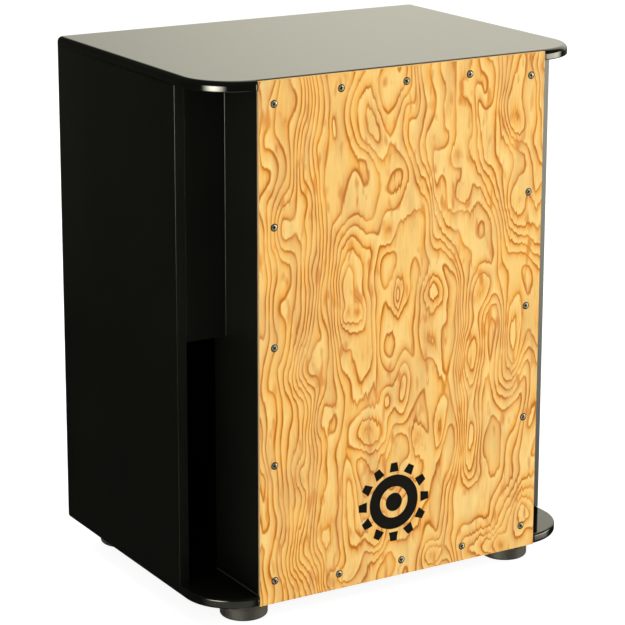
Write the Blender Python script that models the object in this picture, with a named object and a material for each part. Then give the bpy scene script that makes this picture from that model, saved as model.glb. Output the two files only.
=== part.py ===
"""Bass cajon: a lacquered box drum with a screwed-on front plate and two forward-facing side ports.

The body is a wide box.  Its front chamber is narrower than the rest, so that each side has a recess
beside the front plate.  A baffle closes the upper half of the recess; the lower half is open into the
box and is the sound port.  Two snare combs on a bar press on the back of the front plate.

Units are metres.  The front faces -Y, +Z is up, and the origin is on the ground under the middle of
the bounding box.
"""
import math

import bmesh
import bpy
from mathutils import Matrix, Vector

# Driving dimensions of the box
WIDTH = 0.400            # over the outer side panels
BODY_DEPTH = 0.299       # front plate's face to the back
BOX_HEIGHT = 0.479       # underside of the bottom plate to the seat
PANEL = 0.0095           # every lacquered board
GAP = 0.0003             # left between two pieces that touch
OUTER_ROUND = 0.005      # rounded-over rim of the seat
UNDER_ROUND = 0.003      # rounded-over rim of the underside
INNER_ROUND = 0.001      # their inside rims, where the front corners overhang
REAR_CORNER = 0.0065     # upright rear corners
FRONT_EDGE_ROUND = 0.0006  # upright front edges of the outer side panels

# Front plate and side recesses
FRONT_WIDTH = 0.301
FRONT_THICKNESS = 0.003
FRONT_TOP_STEP = 0.0010  # the front plate ends this far below the seat
RECESS_DEPTH = 0.060     # front plate's face to the baffles and the outer side panels
INNER_SIDE_END = 0.081   # front plate's face to the rear edge of the inner side panels
PORT_TOP = 0.2377        # underside of the box to the lower edge of the baffles

# Strips of wood glued into the corners
FRONT_CLEAT = (0.020, 0.018)
REAR_CLEAT = 0.015
CLEAT_BEVEL = 0.001

# Screws of the front plate: five in each column, three between them in the rows at top and bottom
COLUMN_X = 0.1353
COLUMN_END = 0.0218      # corner screws, from the underside and from the seat
COLUMN_COUNT = 5
ROW_END = 0.0145
ROW_SPACING = 0.0677
SCREW_LENGTH = 0.020
SCREW_RADIUS = 0.00175
HEAD_RADIUS = 0.0031
HEAD_CROWN = 0.0006
HEAD_SINK = 0.0014
HOLE_OVERCUT = 0.002     # cutters start this far outside the face that they cut
SCREW_TURN_STEP = 37     # degrees from one screw's cross to the next

# Feet
FOOT_RADIUS = 0.0220
FOOT_HEIGHT = 0.021
FRONT_FOOT_X = 0.145
REAR_FOOT_X = 0.158      # the rear feet stand wider apart
FOOT_INSET = 0.0402      # foot axis from the front and from the back
FOOT_EDGE_ROUND = 0.0028
FOOT_BORE = 0.0070
FOOT_BORE_DEPTH = 0.0090
FOOT_SCREW_RADIUS = 0.0021
FOOT_SCREW_BITE = 0.0078  # how far the screw goes into the bottom plate
WASHER_THICKNESS = 0.0012

# Snares
SNARE_BAR_SIZE = (0.018, 0.025)
SNARE_BAR_Z = 0.285      # underside of the bar above the underside of the box
SNARE_BAR_SETBACK = 0.0072
SNARE_CENTRE_X = 0.058
SNARE_TILT = math.radians(7.0)
SNARE_STRANDS = 10
SNARE_PITCH = 0.0046
SNARE_LENGTH = 0.132
SNARE_LEAN = 0.0008      # forward lean of a wire's middle from the face of its plate
SNARE_SOLDER_DROP = 0.0010
SNARE_WIRE_RADIUS = 0.0007
SNARE_PLATE = (0.048, 0.0010, 0.018)
SNARE_SCREW_RADIUS = 0.0015
SNARE_SCREW_LENGTH = 0.012

TINY = 1e-6              # two coordinates closer than this are the same

# Places that follow from the sizes
FRONT_Y = -(BODY_DEPTH + HEAD_CROWN) / 2 + HEAD_CROWN
BACK_Y = FRONT_Y + BODY_DEPTH
BASE_Z = FOOT_HEIGHT + GAP
SEAT_Z = BASE_Z + BOX_HEIGHT
INNER_BOTTOM_Z = BASE_Z + PANEL + GAP
INNER_TOP_Z = SEAT_Z - PANEL - GAP
REBATE_X = FRONT_WIDTH / 2 + GAP
REBATE_Y = FRONT_Y + FRONT_THICKNESS + GAP
CORNER_RADIUS = WIDTH / 2 - REBATE_X
INNER_SIDE_X = FRONT_WIDTH / 2
INTO_FRONT = Matrix.Rotation(math.radians(90), 4, "X")  # turns a shank along -Z to run along +Y


def clear_scene():
    for item in list(bpy.data.objects):
        bpy.data.objects.remove(item, do_unlink=True)


def make_material(name, colour, roughness, metallic=0.0):
    material = bpy.data.materials.new(name)
    material.use_nodes = True
    shader = material.node_tree.nodes["Principled BSDF"]
    shader.inputs["Base Color"].default_value = (*colour, 1.0)
    shader.inputs["Roughness"].default_value = roughness
    shader.inputs["Metallic"].default_value = metallic
    material.diffuse_color = (*colour, 1.0)
    return material


def make_object(name, mesh, material=None, location=(0, 0, 0), rotation=(0, 0, 0)):
    if material is not None:
        mesh.materials.clear()
        mesh.materials.append(material)
    item = bpy.data.objects.new(name, mesh)
    item.location = location
    item.rotation_euler = rotation
    bpy.context.scene.collection.objects.link(item)
    return item


def mesh_from(bm, name):
    bmesh.ops.recalc_face_normals(bm, faces=bm.faces)
    mesh = bpy.data.meshes.new(name)
    bm.to_mesh(mesh)
    bm.free()
    return mesh


def smooth(mesh, angle=math.radians(35)):
    mesh.shade_smooth()
    mesh.set_sharp_from_angle(angle=angle)


def add_bevel(item, width, segments=2):
    bevel = item.modifiers.new("rounded edges", "BEVEL")
    bevel.width = width
    bevel.segments = segments
    bevel.limit_method = "ANGLE"
    bevel.angle_limit = math.radians(40)


def make_cutter(name, mesh, location=(0, 0, 0)):
    item = make_object(name, mesh, location=location)
    item.hide_render = True
    item.display_type = "WIRE"
    return item


def cut(item, cutter):
    boolean = item.modifiers.new("cut by " + cutter.name, "BOOLEAN")
    boolean.operation = "DIFFERENCE"
    boolean.solver = "EXACT"
    boolean.object = cutter


def add_board(name, low, high, material, bevel=0.0005, segments=1):
    """A flat board or batten between two opposite corners."""
    low = Vector(low)
    high = Vector(high)
    bm = bmesh.new()
    bmesh.ops.create_cube(bm, size=1.0)
    bmesh.ops.scale(bm, vec=high - low, verts=bm.verts)
    item = make_object(name, mesh_from(bm, name), material, location=(low + high) / 2)
    add_bevel(item, bevel, segments)
    return item


def spin_profile(bm, profile, steps):
    """Turn a closed or axis-to-axis profile of (radius, z) points about Z."""
    verts = [bm.verts.new((radius, 0, z)) for radius, z in profile]
    edges = [bm.edges.new(pair) for pair in zip(verts, verts[1:])]
    if profile[0][0] > 0:
        edges.append(bm.edges.new((verts[-1], verts[0])))
    bmesh.ops.spin(bm, geom=verts + edges, axis=(0, 0, 1), cent=(0, 0, 0), angle=math.tau, steps=steps)
    bmesh.ops.remove_doubles(bm, verts=bm.verts, dist=1e-6)


def turned_mesh(name, profile, steps):
    bm = bmesh.new()
    spin_profile(bm, profile, steps)
    mesh = mesh_from(bm, name)
    smooth(mesh)
    return mesh


def arc(centre, radius, start, end, steps):
    """Points of an arc in the XY plane, angles in degrees."""
    points = []
    for step in range(steps + 1):
        angle = math.radians(start + (end - start) * step / steps)
        points.append((centre[0] + radius * math.cos(angle), centre[1] + radius * math.sin(angle)))
    return points


def shell_outline():
    """Plan of the top and bottom plates: big front corners and small rear ones."""
    front_centre_x = WIDTH / 2 - CORNER_RADIUS
    front_centre_y = FRONT_Y + CORNER_RADIUS
    rear_centre_x = WIDTH / 2 - REAR_CORNER
    rear_centre_y = BACK_Y - REAR_CORNER
    right = arc((front_centre_x, front_centre_y), CORNER_RADIUS, -90, 0, 12)
    right += arc((rear_centre_x, rear_centre_y), REAR_CORNER, 0, 90, 3)
    left = [(-x, y) for x, y in reversed(right)]
    return right + left


def middle(edge):
    return (edge.verts[0].co + edge.verts[1].co) / 2


def on_front_corner(point):
    return point.y < FRONT_Y + CORNER_RADIUS


def rim_edges(bm, z, wanted):
    """Edges at one height whose middle is in the wanted part of the outline."""
    return [edge for edge in bm.edges
            if all(abs(vert.co.z - z) < TINY for vert in edge.verts) and wanted(middle(edge))]


def extrude_up(bm, points, height):
    """Solid of an outline, standing on z = 0."""
    face = bm.faces.new([bm.verts.new((x, y, 0)) for x, y in points])
    made = bmesh.ops.extrude_face_region(bm, geom=[face])
    lifted = [part for part in made["geom"] if isinstance(part, bmesh.types.BMVert)]
    bmesh.ops.translate(bm, vec=(0, 0, height), verts=lifted)


def add_shell_plate(name, low_z, outer_is_top, material):
    """Top or bottom plate with a rebate for the front plate.

    Its outside rim is rounded all round, and its inside rim at the front.
    """
    bm = bmesh.new()
    extrude_up(bm, shell_outline(), PANEL)
    outer_z, inner_z, outer_round = (PANEL, 0.0, OUTER_ROUND) if outer_is_top else (0.0, PANEL, UNDER_ROUND)
    for z, wanted, width, segments in ((outer_z, lambda point: True, outer_round, 4),
                                       (inner_z, on_front_corner, INNER_ROUND, 2)):
        bmesh.ops.bevel(bm, geom=rim_edges(bm, z, wanted), offset=width, segments=segments,
                        profile=0.5, affect="EDGES")
    mesh = mesh_from(bm, name)
    smooth(mesh)
    plate = make_object(name, mesh, material, location=(0, 0, low_z))
    rebate = bmesh.new()
    outside = FRONT_Y - HOLE_OVERCUT
    extrude_up(rebate, [(-REBATE_X, outside), (REBATE_X, outside), (REBATE_X, REBATE_Y), (-REBATE_X, REBATE_Y)],
               PANEL + 2 * HOLE_OVERCUT)
    cut(plate, make_cutter(name + " rebate", mesh_from(rebate, name + " rebate"),
                           (0, 0, low_z - HOLE_OVERCUT)))
    return plate


def screw_profile(length, radius, head_radius, crown, sink):
    """Wood screw pointing down -Z, its rim at z = 0.  With no sink its head is flat underneath."""
    tip = radius * 1.6
    return [
        (0.0, crown),
        (head_radius * 0.62, crown * 0.68),
        (head_radius, 0.0),
        (radius, -sink),
        (radius, tip - length),
        (0.0, -length),
    ]


def cross_recess_mesh(name, span, slot, top, depth):
    """Tapered cross that cuts a Phillips recess: one plus-shaped outline, narrower at its floor."""
    long = span / 2
    wide = slot / 2
    corner = [(long, -wide), (long, wide), (wide, wide)]
    outline = []
    for quarter in range(4):
        turn = Matrix.Rotation(quarter * math.pi / 2, 2)
        outline += [turn @ Vector(point) for point in corner]
    bm = bmesh.new()
    rings = []
    for z, taper in ((-depth, 0.6), (top, 1.0)):
        rings.append([bm.verts.new((point.x * taper, point.y * taper, z)) for point in outline])
    bm.faces.new(rings[0])
    bm.faces.new(rings[1])
    for index in range(len(outline)):
        after = (index + 1) % len(outline)
        bm.faces.new((rings[0][index], rings[0][after], rings[1][after], rings[1][index]))
    return mesh_from(bm, name)


def evaluated_mesh(item, name):
    """The mesh of an object after its modifiers."""
    graph = bpy.context.evaluated_depsgraph_get()
    mesh = bpy.data.meshes.new_from_object(item.evaluated_get(graph))
    mesh.name = name
    return mesh


def make_screw_mesh(name, length, radius, head_radius, crown, sink):
    """Wood screw with a Phillips recess."""
    profile = screw_profile(length, radius, head_radius, crown, sink)
    blank = make_object(name + " blank", turned_mesh(name, profile, 12))
    recess = cross_recess_mesh(name + " recess", head_radius * 1.15, head_radius * 0.26,
                               crown + HOLE_OVERCUT, sink * 0.8 - crown * 0.3)
    cutter = make_cutter(name + " recess", recess)
    cut(blank, cutter)
    mesh = evaluated_mesh(blank, name)
    for item in (blank, cutter):
        bpy.data.objects.remove(item, do_unlink=True)
    smooth(mesh)
    return mesh


def holes_mesh(name, places, profile, rotation, steps=12):
    """One cutter mesh with a hole of the same turned profile at each place."""
    bm = bmesh.new()
    for place in places:
        hole = bmesh.new()
        spin_profile(hole, profile, steps)
        bmesh.ops.transform(hole, matrix=Matrix.Translation(place) @ rotation, verts=hole.verts)
        bm.from_mesh(mesh_from(hole, name))
    return mesh_from(bm, name)


def front_screw_places():
    """Names and places of the screws that hold the front plate, as (name, x, z)."""
    places = []
    low = BASE_Z + COLUMN_END
    high = SEAT_Z - COLUMN_END
    for side, sign in (("left", -1), ("right", 1)):
        for index in range(COLUMN_COUNT):
            z = high + (low - high) * index / (COLUMN_COUNT - 1)
            places.append((f"front_screw_{side}_{index + 1}", sign * COLUMN_X, z))
    for row, z in (("top", SEAT_Z - ROW_END), ("bottom", BASE_Z + ROW_END)):
        for index in range(3):
            places.append((f"front_screw_{row}_{index + 1}", (index - 1) * ROW_SPACING, z))
    return places


def foot_places():
    rows = (("front", FRONT_FOOT_X, FRONT_Y + FOOT_INSET), ("rear", REAR_FOOT_X, BACK_Y - FOOT_INSET))
    return [(f"{row}_{side}", sign * x, y) for row, x, y in rows for side, sign in (("left", -1), ("right", 1))]


def mirrored_span(sign, near, far):
    """The two X limits of a piece between two distances from the middle, lowest first."""
    return sorted((sign * near, sign * far))


def build_panels(lacquer):
    """The lacquered boards. Returns the bottom plate."""
    add_shell_plate("top_plate", SEAT_Z - PANEL, True, lacquer)
    bottom_plate = add_shell_plate("bottom_plate", BASE_Z, False, lacquer)
    recess_y = FRONT_Y + RECESS_DEPTH
    inside = WIDTH / 2 - PANEL - GAP
    for side, sign in (("left", -1), ("right", 1)):
        build_outer_side(f"{side}_outer_side", sign, recess_y, lacquer)
        low_x, high_x = mirrored_span(sign, INNER_SIDE_X - PANEL, INNER_SIDE_X)
        add_board(f"{side}_inner_side", (low_x, REBATE_Y, INNER_BOTTOM_Z),
                  (high_x, FRONT_Y + INNER_SIDE_END, INNER_TOP_Z), lacquer)
        low_x, high_x = mirrored_span(sign, INNER_SIDE_X + GAP, inside)
        add_board(f"{side}_baffle", (low_x, recess_y, BASE_Z + PORT_TOP),
                  (high_x, recess_y + PANEL, INNER_TOP_Z), lacquer)
    add_board("back_panel", (-inside, BACK_Y - PANEL, INNER_BOTTOM_Z), (inside, BACK_Y, INNER_TOP_Z),
              lacquer)
    return bottom_plate


def build_outer_side(name, sign, front_y, material):
    """Outer side panel, its rear outside edge rounded like the plates' rear corners."""
    outside = WIDTH / 2
    outline = [(outside - PANEL, front_y), (outside, front_y)]
    outline += arc((outside - REAR_CORNER, BACK_Y - REAR_CORNER), REAR_CORNER, 0, 90, 3)
    outline.append((outside - PANEL, BACK_Y))
    bm = bmesh.new()
    extrude_up(bm, [(sign * x, y) for x, y in outline], INNER_TOP_Z - INNER_BOTTOM_Z)
    uprights = [edge for edge in bm.edges
                if all(abs(vert.co.y - front_y) < TINY for vert in edge.verts)
                and abs(edge.verts[0].co.z - edge.verts[1].co.z) > TINY]
    bmesh.ops.bevel(bm, geom=uprights, offset=FRONT_EDGE_ROUND, segments=2, profile=0.5, affect="EDGES")
    mesh = mesh_from(bm, name)
    smooth(mesh)
    make_object(name, mesh, material, location=(0, 0, INNER_BOTTOM_Z))


def build_front(veneer, steel, cleat_wood):
    """Front plate, the four strips behind it and the screws that hold it to them."""
    pieces = [add_board("front_plate", (-FRONT_WIDTH / 2, FRONT_Y, BASE_Z),
                        (FRONT_WIDTH / 2, FRONT_Y + FRONT_THICKNESS, SEAT_Z - FRONT_TOP_STEP),
                        veneer, bevel=0.0006)]
    wide, deep = FRONT_CLEAT
    outside = INNER_SIDE_X - PANEL - GAP
    for side, sign in (("left", -1), ("right", 1)):
        low_x, high_x = mirrored_span(sign, outside - wide, outside)
        pieces.append(add_board(f"front_cleat_{side}", (low_x, REBATE_Y, INNER_BOTTOM_Z),
                                (high_x, REBATE_Y + deep, INNER_TOP_Z), cleat_wood, bevel=CLEAT_BEVEL))
    between = outside - wide - GAP
    for row, low_z in (("bottom", INNER_BOTTOM_Z), ("top", INNER_TOP_Z - wide)):
        pieces.append(add_board(f"front_cleat_{row}", (-between, REBATE_Y, low_z),
                                (between, REBATE_Y + deep, low_z + wide), cleat_wood, bevel=CLEAT_BEVEL))
    bore = SCREW_RADIUS + GAP
    bore_end = -SCREW_LENGTH - 2 * GAP
    hole = [(0.0, HOLE_OVERCUT), (HEAD_RADIUS + GAP, HOLE_OVERCUT), (HEAD_RADIUS + GAP, 0.0),
            (bore, -HEAD_SINK), (bore, bore_end), (0.0, bore_end)]
    places = front_screw_places()
    holes = holes_mesh("front screw holes", [Vector((x, FRONT_Y, z)) for _, x, z in places], hole, INTO_FRONT)
    cutter = make_cutter("front screw holes", holes)
    for piece in pieces:
        cut(piece, cutter)
    mesh = make_screw_mesh("front screw", SCREW_LENGTH, SCREW_RADIUS, HEAD_RADIUS, HEAD_CROWN, HEAD_SINK)
    for index, (name, x, z) in enumerate(places):
        turn = math.radians(SCREW_TURN_STEP * index % 90)
        make_object(name, mesh, steel, location=(x, FRONT_Y, z), rotation=(math.radians(90), turn, 0))


def build_rear_cleats(lacquer):
    """Strips that the back panel is glued to, blackened because they can be seen through the ports."""
    outside = WIDTH / 2 - PANEL - GAP
    rear = BACK_Y - PANEL - GAP
    for side, sign in (("left", -1), ("right", 1)):
        low_x, high_x = mirrored_span(sign, outside - REAR_CLEAT, outside)
        add_board(f"rear_cleat_{side}", (low_x, rear - REAR_CLEAT, INNER_BOTTOM_Z),
                  (high_x, rear, INNER_TOP_Z), lacquer, bevel=CLEAT_BEVEL)
    between = outside - REAR_CLEAT - GAP
    for row, low_z in (("bottom", INNER_BOTTOM_Z), ("top", INNER_TOP_Z - REAR_CLEAT)):
        add_board(f"rear_cleat_{row}", (-between, rear - REAR_CLEAT, low_z),
                  (between, rear, low_z + REAR_CLEAT), lacquer, bevel=CLEAT_BEVEL)


def foot_profile():
    """Rubber foot from its top rim down its side and up its stepped bore."""
    chamfer = 0.0005
    points = [(FOOT_RADIUS - chamfer, FOOT_HEIGHT), (FOOT_RADIUS, FOOT_HEIGHT - chamfer)]
    points += arc((FOOT_RADIUS - FOOT_EDGE_ROUND, FOOT_EDGE_ROUND), FOOT_EDGE_ROUND, 0, -90, 3)
    shank = FOOT_SCREW_RADIUS + GAP
    points += [(FOOT_BORE, 0.0), (FOOT_BORE, FOOT_BORE_DEPTH), (shank, FOOT_BORE_DEPTH),
               (shank, FOOT_HEIGHT)]
    return points


def build_feet(rubber, steel, bottom_plate):
    """Rubber feet, each held by a pan-head screw and a washer up inside its bore."""
    head_radius = 0.0040
    crown = 0.0012
    washer_z = FOOT_BORE_DEPTH - GAP - WASHER_THICKNESS
    head_z = washer_z - GAP
    length = BASE_Z + FOOT_SCREW_BITE - head_z
    bore = FOOT_SCREW_RADIUS + GAP
    washer = [(bore, 0.0), (FOOT_BORE - GAP, 0.0), (FOOT_BORE - GAP, WASHER_THICKNESS),
              (bore, WASHER_THICKNESS)]
    foot_mesh = turned_mesh("foot", foot_profile(), 32)
    washer_mesh = turned_mesh("foot washer", washer, 24)
    screw_mesh = make_screw_mesh("foot screw", length, FOOT_SCREW_RADIUS, head_radius, crown, 0.0)
    for place, x, y in foot_places():
        make_object(f"foot_{place}", foot_mesh, rubber, location=(x, y, 0))
        make_object(f"foot_washer_{place}", washer_mesh, steel, location=(x, y, washer_z))
        make_object(f"foot_screw_{place}", screw_mesh, steel, location=(x, y, head_z),
                    rotation=(math.pi, 0, 0))
    pilot_end = FOOT_SCREW_BITE + 2 * GAP
    pilot = [(0.0, pilot_end), (bore, pilot_end), (bore, -HOLE_OVERCUT), (0.0, -HOLE_OVERCUT)]
    places = [Vector((x, y, BASE_Z)) for _, x, y in foot_places()]
    pilots = holes_mesh("foot screw pilots", places, pilot, Matrix.Identity(4))
    cut(bottom_plate, make_cutter("foot screw pilots", pilots))


def snare_comb_mesh(name, holes):
    """Solder plate with its row of wires as one body.  The wires stand on the plate and lean forward."""
    width, thick, high = SNARE_PLATE
    bm = bmesh.new()
    bmesh.ops.create_cube(bm, size=1.0)
    bmesh.ops.scale(bm, vec=(width, thick, high), verts=bm.verts)
    comb = make_object(name + " blank", mesh_from(bm, name))
    helpers = [comb]
    for index in range(SNARE_STRANDS):
        wire = bmesh.new()
        bmesh.ops.create_cone(wire, cap_ends=True, segments=6, radius1=SNARE_WIRE_RADIUS,
                              radius2=SNARE_WIRE_RADIUS, depth=SNARE_LENGTH)
        lean = Matrix.Rotation(math.atan2(2 * SNARE_LEAN, SNARE_LENGTH), 3, "X")
        bmesh.ops.rotate(wire, verts=wire.verts, cent=(0, 0, 0), matrix=lean)
        x = (index - (SNARE_STRANDS - 1) / 2) * SNARE_PITCH
        y = -thick / 2 - SNARE_LEAN
        bmesh.ops.translate(wire, vec=(x, y, SNARE_LENGTH / 2 - SNARE_SOLDER_DROP), verts=wire.verts)
        strand = make_object(f"{name} wire {index}", mesh_from(wire, name))
        helpers.append(strand)
        union = comb.modifiers.new(f"wire {index}", "BOOLEAN")
        union.operation = "UNION"
        union.solver = "EXACT"
        union.object = strand
    bore = [(0.0, thick), (SNARE_SCREW_RADIUS + GAP, thick), (SNARE_SCREW_RADIUS + GAP, -thick), (0.0, -thick)]
    cutter = make_cutter(name + " holes", holes_mesh(
        name + " holes", [Vector((x, 0, z)) for x, z in holes], bore, INTO_FRONT))
    helpers.append(cutter)
    cut(comb, cutter)
    mesh = evaluated_mesh(comb, name)
    for item in helpers:
        bpy.data.objects.remove(item, do_unlink=True)
    return mesh


def build_snares(bar_wood, steel):
    deep, high = SNARE_BAR_SIZE
    half_span = INNER_SIDE_X - PANEL - FRONT_CLEAT[0] - 2 * GAP
    bar_y = FRONT_Y + SNARE_BAR_SETBACK
    bar_z = BASE_Z + SNARE_BAR_Z
    bar = add_board("snare_bar", (-half_span, bar_y, bar_z), (half_span, bar_y + deep, bar_z + high),
                    bar_wood, bevel=0.001)
    width, thick, plate_high = SNARE_PLATE
    centre_z = bar_z + high - plate_high / 2 - 0.002
    holes = [(sign * width * 0.32, -plate_high * 0.29) for sign in (-1, 1)]
    comb_mesh = snare_comb_mesh("snare comb", holes)
    screw_mesh = make_screw_mesh("snare screw", SNARE_SCREW_LENGTH, SNARE_SCREW_RADIUS, 0.0026, 0.0012, 0.0)
    screw_y = bar_y - thick - 2 * GAP
    pilots = []
    for side, sign in (("left", -1), ("right", 1)):
        centre_x = sign * SNARE_CENTRE_X
        tilt = sign * SNARE_TILT
        make_object(f"snare_comb_{side}", comb_mesh, steel, rotation=(0, tilt, 0),
                    location=(centre_x, bar_y - GAP - thick / 2, centre_z))
        for index, (x, z) in enumerate(holes):
            place = Vector((centre_x + x * math.cos(tilt) + z * math.sin(tilt), screw_y,
                            centre_z - x * math.sin(tilt) + z * math.cos(tilt)))
            make_object(f"snare_screw_{side}_{index + 1}", screw_mesh, steel, location=place,
                        rotation=(math.radians(90), 0, 0))
            pilots.append(place)
    radius = SNARE_SCREW_RADIUS + GAP
    pilot_end = -SNARE_SCREW_LENGTH - 2 * GAP
    pilot = [(0.0, 0.0), (radius, 0.0), (radius, pilot_end), (0.0, pilot_end)]
    cut(bar, make_cutter("snare screw pilots", holes_mesh("snare screw pilots", pilots, pilot, INTO_FRONT)))


def main():
    clear_scene()
    lacquer = make_material("black lacquer", (0.006, 0.006, 0.005), 0.12)
    veneer = make_material("burl veneer", (0.80, 0.50, 0.19), 0.32)
    cleat_wood = make_material("pine strip", (0.62, 0.45, 0.26), 0.6)
    steel = make_material("zinc plated steel", (0.66, 0.67, 0.68), 0.28, 1.0)
    rubber = make_material("dark rubber", (0.06, 0.06, 0.055), 0.6)
    bottom_plate = build_panels(lacquer)
    build_front(veneer, steel, cleat_wood)
    build_rear_cleats(lacquer)
    build_feet(rubber, steel, bottom_plate)
    build_snares(cleat_wood, steel)


main()
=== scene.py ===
import math

import bmesh
import bpy
from mathutils import Matrix, Vector


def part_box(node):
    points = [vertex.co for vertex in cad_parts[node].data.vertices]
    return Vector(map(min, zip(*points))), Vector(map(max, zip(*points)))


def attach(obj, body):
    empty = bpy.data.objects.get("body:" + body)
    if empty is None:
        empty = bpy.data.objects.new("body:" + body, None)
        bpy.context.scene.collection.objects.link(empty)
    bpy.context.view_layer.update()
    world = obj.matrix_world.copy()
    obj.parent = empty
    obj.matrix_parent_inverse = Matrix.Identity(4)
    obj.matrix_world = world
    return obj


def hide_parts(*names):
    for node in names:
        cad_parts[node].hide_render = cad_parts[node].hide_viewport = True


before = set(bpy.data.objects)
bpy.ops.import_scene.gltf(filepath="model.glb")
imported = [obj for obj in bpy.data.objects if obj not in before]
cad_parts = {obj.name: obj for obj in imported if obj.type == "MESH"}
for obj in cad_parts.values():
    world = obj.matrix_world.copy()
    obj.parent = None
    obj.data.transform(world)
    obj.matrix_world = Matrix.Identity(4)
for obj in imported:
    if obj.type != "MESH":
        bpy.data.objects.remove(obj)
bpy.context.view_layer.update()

BODY = "root"

# ---------------------------------------------------------------- sizes, in metres

# read from the frame
PLATE_LOW, PLATE_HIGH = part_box("front_plate")
TOP_LOW, TOP_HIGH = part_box("top_plate")
BOTTOM_LOW, BOTTOM_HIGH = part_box("bottom_plate")
SIDE_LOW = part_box("right_outer_side")[0]
INNER_LOW, INNER_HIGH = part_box("right_inner_side")
BAFFLE_LOW, BAFFLE_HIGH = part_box("right_baffle")
BACK_LOW, BACK_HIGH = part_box("back_panel")
HALF_WIDTH = TOP_HIGH.x
FRONT_Y = PLATE_LOW.y
BACK_Y = TOP_HIGH.y
GLUE_GAP = BAFFLE_LOW.x - INNER_HIGH.x
REBATE_X = PLATE_HIGH.x + GLUE_GAP
REBATE_Y = PLATE_HIGH.y + GLUE_GAP
FRONT_CORNER = HALF_WIDTH - REBATE_X

# rounds and eased edges of the boards
REAR_CORNER = 0.0065
SEAT_ROUND = 0.005
SEAT_INNER_ROUND = 0.001
UNDER_ROUND = 0.003
FLOOR_ROUND = 0.002
UPRIGHT_ROUND = 0.0003
BOARD_EASE = 0.0004
BACK_EASE = 0.0012
PLY_EASE = 0.00045
CORNER_BEAD = 0.0003
FLOOR_BEAD = 0.0006

# the countersunk screw holes in the front plate
HOLE_RADIUS = 0.0036
HOLE_SHANK_RADIUS = 0.0020
HOLE_DEPTH = 0.005
COUNTERSINK = 0.0013

# how far a cutter reaches past what it cuts, and what counts as zero
OVERSHOOT = 0.002
TINY = 1e-6

# degrees between two faces up to which they shade as one
SMOOTH_ANGLE = 35.0
HEAD_SMOOTH_ANGLE = 30.0


# ---------------------------------------------------------------- mesh helpers

def shade(mesh, smooth_angle):
    """Smooth shading up to the angle, with normals that keep large flat faces flat beside a bevel."""
    mesh.shade_smooth()
    mesh.set_sharp_from_angle(angle=math.radians(smooth_angle))
    return through_modifier(mesh, "WEIGHTED_NORMAL", keep_sharp=True, weight=100)


def through_modifier(mesh, kind, **settings):
    """The mesh as one modifier leaves it."""
    item = bpy.data.objects.new(mesh.name + " blank", mesh)
    bpy.context.scene.collection.objects.link(item)
    modifier = item.modifiers.new(kind, kind)
    for key, value in settings.items():
        setattr(modifier, key, value)
    graph = bpy.context.evaluated_depsgraph_get()
    result = bpy.data.meshes.new_from_object(item.evaluated_get(graph))
    result.name = mesh.name
    bpy.data.objects.remove(item, do_unlink=True)
    return result


def finish_mesh(bm, name):
    """The mesh of a closed bmesh, its normals outward."""
    bmesh.ops.recalc_face_normals(bm, faces=bm.faces)
    mesh = bpy.data.meshes.new(name)
    bm.to_mesh(mesh)
    bm.free()
    return shade(mesh, SMOOTH_ANGLE)


def add_piece(name, mesh, materials, replaced=(), matrix=None):
    """A visible piece that rides on the body and stands for the CAD nodes named in replaced."""
    item = bpy.data.objects.new(name, mesh)
    bpy.context.scene.collection.objects.link(item)
    if matrix is not None:
        item.matrix_world = matrix
    if not mesh.materials:
        for material in materials:
            mesh.materials.append(material)
    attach(item, BODY)
    if replaced:
        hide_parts(*replaced)


def arc(centre, radius, start, end, steps):
    """Points of an arc in the plane, angles in degrees."""
    points = []
    for step in range(steps + 1):
        angle = math.radians(start + (end - start) * step / steps)
        points.append((centre[0] + radius * math.cos(angle), centre[1] + radius * math.sin(angle)))
    return points


def prism(points, low_z, high_z):
    """Upright solid of a plan outline."""
    bm = bmesh.new()
    face = bm.faces.new([bm.verts.new((x, y, low_z)) for x, y in points])
    made = bmesh.ops.extrude_face_region(bm, geom=[face])
    lifted = [part for part in made["geom"] if isinstance(part, bmesh.types.BMVert)]
    bmesh.ops.translate(bm, vec=(0, 0, high_z - low_z), verts=lifted)
    return bm


def block(low, high):
    """Box between two corners."""
    plan = [(low[0], low[1]), (high[0], low[1]), (high[0], high[1]), (low[0], high[1])]
    return prism(plan, low[2], high[2])


def cut_mesh(mesh, cutter_mesh, smooth_angle=SMOOTH_ANGLE):
    """The mesh less the cutter, both closed."""
    cutter = bpy.data.objects.new("cutter", cutter_mesh)
    bpy.context.scene.collection.objects.link(cutter)
    result = through_modifier(mesh, "BOOLEAN", object=cutter, solver="EXACT")
    bpy.data.objects.remove(cutter, do_unlink=True)
    result.materials.clear()
    return shade(result, smooth_angle)


def edge_middle(edge):
    return (edge.verts[0].co + edge.verts[1].co) / 2


def is_upright(edge):
    return abs(edge.verts[0].co.z - edge.verts[1].co.z) > TINY


def bevel(bm, edges, width, segments):
    bmesh.ops.bevel(bm, geom=edges, offset=width, segments=segments, profile=0.5, affect="EDGES")


def turned(profile, steps):
    """Solid of a (radius, z) profile turned about Z."""
    bm = bmesh.new()
    verts = [bm.verts.new((radius, 0, z)) for radius, z in profile]
    edges = [bm.edges.new(pair) for pair in zip(verts, verts[1:])]
    if profile[0][0] > 0:
        edges.append(bm.edges.new((verts[-1], verts[0])))
    bmesh.ops.spin(bm, geom=verts + edges, axis=(0, 0, 1), cent=(0, 0, 0), angle=math.tau, steps=steps)
    bmesh.ops.remove_doubles(bm, verts=bm.verts, dist=TINY)
    return bm


def bridge(bm, near, far):
    """Faces between two closed loops of as many vertices each."""
    for index in range(len(near)):
        after = (index + 1) % len(near)
        bm.faces.new((near[index], near[after], far[after], far[index]))


# ---------------------------------------------------------------- node helpers

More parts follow.
